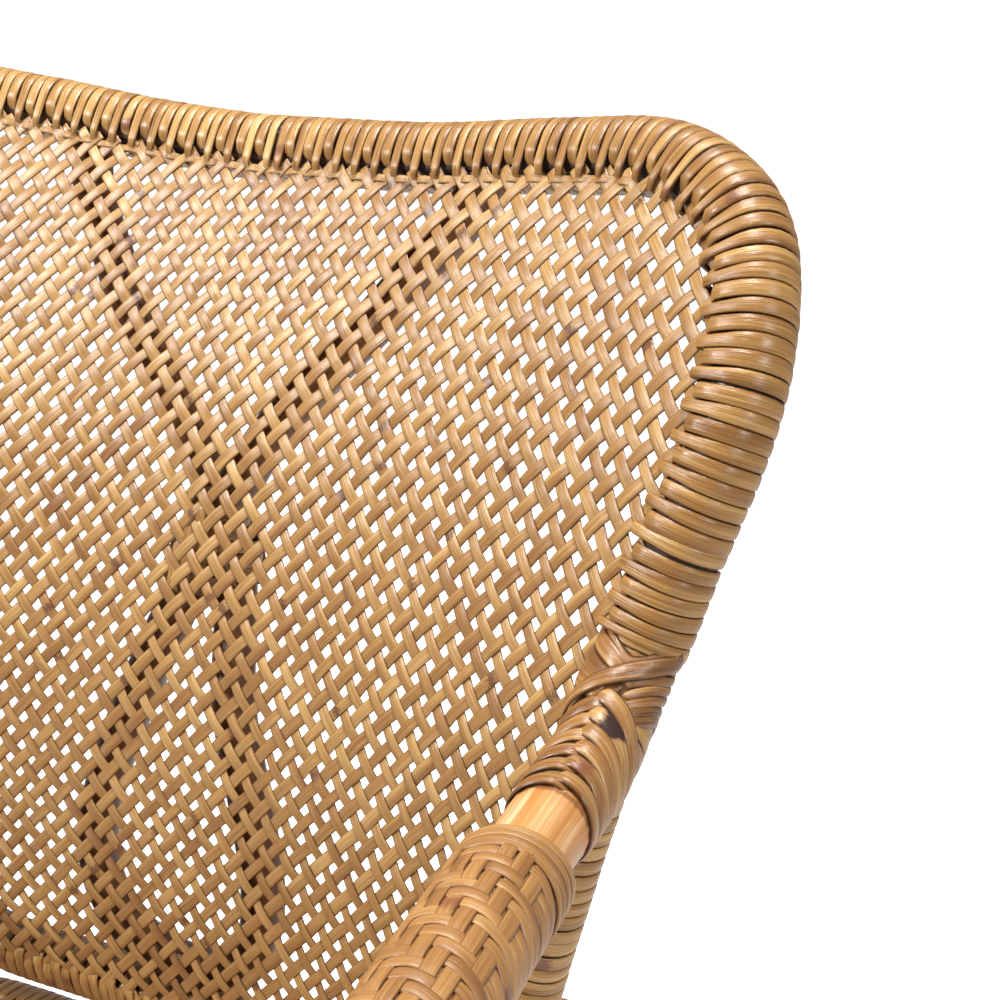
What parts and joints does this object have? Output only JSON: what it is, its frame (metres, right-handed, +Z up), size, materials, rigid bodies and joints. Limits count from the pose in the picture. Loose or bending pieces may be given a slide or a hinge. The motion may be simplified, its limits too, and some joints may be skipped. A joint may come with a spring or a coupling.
{
  "type": "rattan armchair",
  "caption": "Rattan armchair with a woven wing back, bound rim sweeping into arms and front legs, woven seat on a bent ring, splayed rear legs, stretchers and corner braces.",
  "frame": {"origin": "on the floor under the middle of the chair's box", "axes": "+X to the sitter's left, +Y to the back of the chair, +Z up"},
  "size_m": [0.6734, 0.5958, 0.9158],
  "materials": {
    "rattan_pole": "clear satin lacquer over bare rattan",
    "cane_binding": "glossy cane skin, wound",
    "cane_weave": "glossy cane skin, plain weave",
    "screw_steel": "zinc plated",
    "glide_plastic": "matt"
  },
  "bodies": {
    "root": {"hoop_pole_left": "rattan_pole", "hoop_pole_right": "rattan_pole", "lower_rim_pole": "rattan_pole", "rear_leg_left": "rattan_pole", "rear_leg_right": "rattan_pole", "seat_ring_pole": "rattan_pole", "ribbon_pole": "rattan_pole", "seat_slat_front": "rattan_pole", "seat_slat_middle": "rattan_pole", "seat_slat_rear": "rattan_pole", "side_stretcher_left": "rattan_pole", "side_stretcher_right": "rattan_pole", "front_stretcher": "rattan_pole", "rear_stretcher": "rattan_pole", "front_cross_brace_left": "rattan_pole", "front_side_brace_left": "rattan_pole", "rear_cross_brace_left": "rattan_pole", "rear_side_brace_left": "rattan_pole", "front_cross_brace_right": "rattan_pole", "front_side_brace_right": "rattan_pole", "rear_cross_brace_right": "rattan_pole", "rear_side_brace_right": "rattan_pole", "arm_joint_lashing_left": "cane_binding", "arm_joint_lashing_right": "cane_binding", "upper_rim_binding_left": "cane_binding", "upper_rim_binding_right": "cane_binding", "lower_rim_binding": "cane_binding", "ribbon_crossing_lashing": "cane_binding", "arm_cover_left": "cane_binding", "arm_cover_right": "cane_binding", "seat_binding_rear_left": "cane_binding", "seat_binding_left": "cane_binding", "seat_binding_front": "cane_binding", "seat_binding_right": "cane_binding", "seat_binding_rear_right": "cane_binding", "front_leg_lashing_left": "cane_binding", "rear_leg_lashing_left": "cane_binding", "back_leg_lashing_left": "cane_binding", "front_leg_lashing_right": "cane_binding", "rear_leg_lashing_right": "cane_binding", "back_leg_lashing_right": "cane_binding", "woven_back": "cane_weave", "woven_seat": "cane_weave", "front_leg_screw_left": "screw_steel", "rear_leg_screw_left": "screw_steel", "back_leg_screw_left": "screw_steel", "front_leg_screw_right": "screw_steel", "rear_leg_screw_right": "screw_steel", "back_leg_screw_right": "screw_steel", "foot_glide_front_left": "glide_plastic", "foot_glide_front_right": "glide_plastic", "foot_glide_rear_left": "glide_plastic", "foot_glide_rear_right": "glide_plastic"}
  },
  "joints": []
}
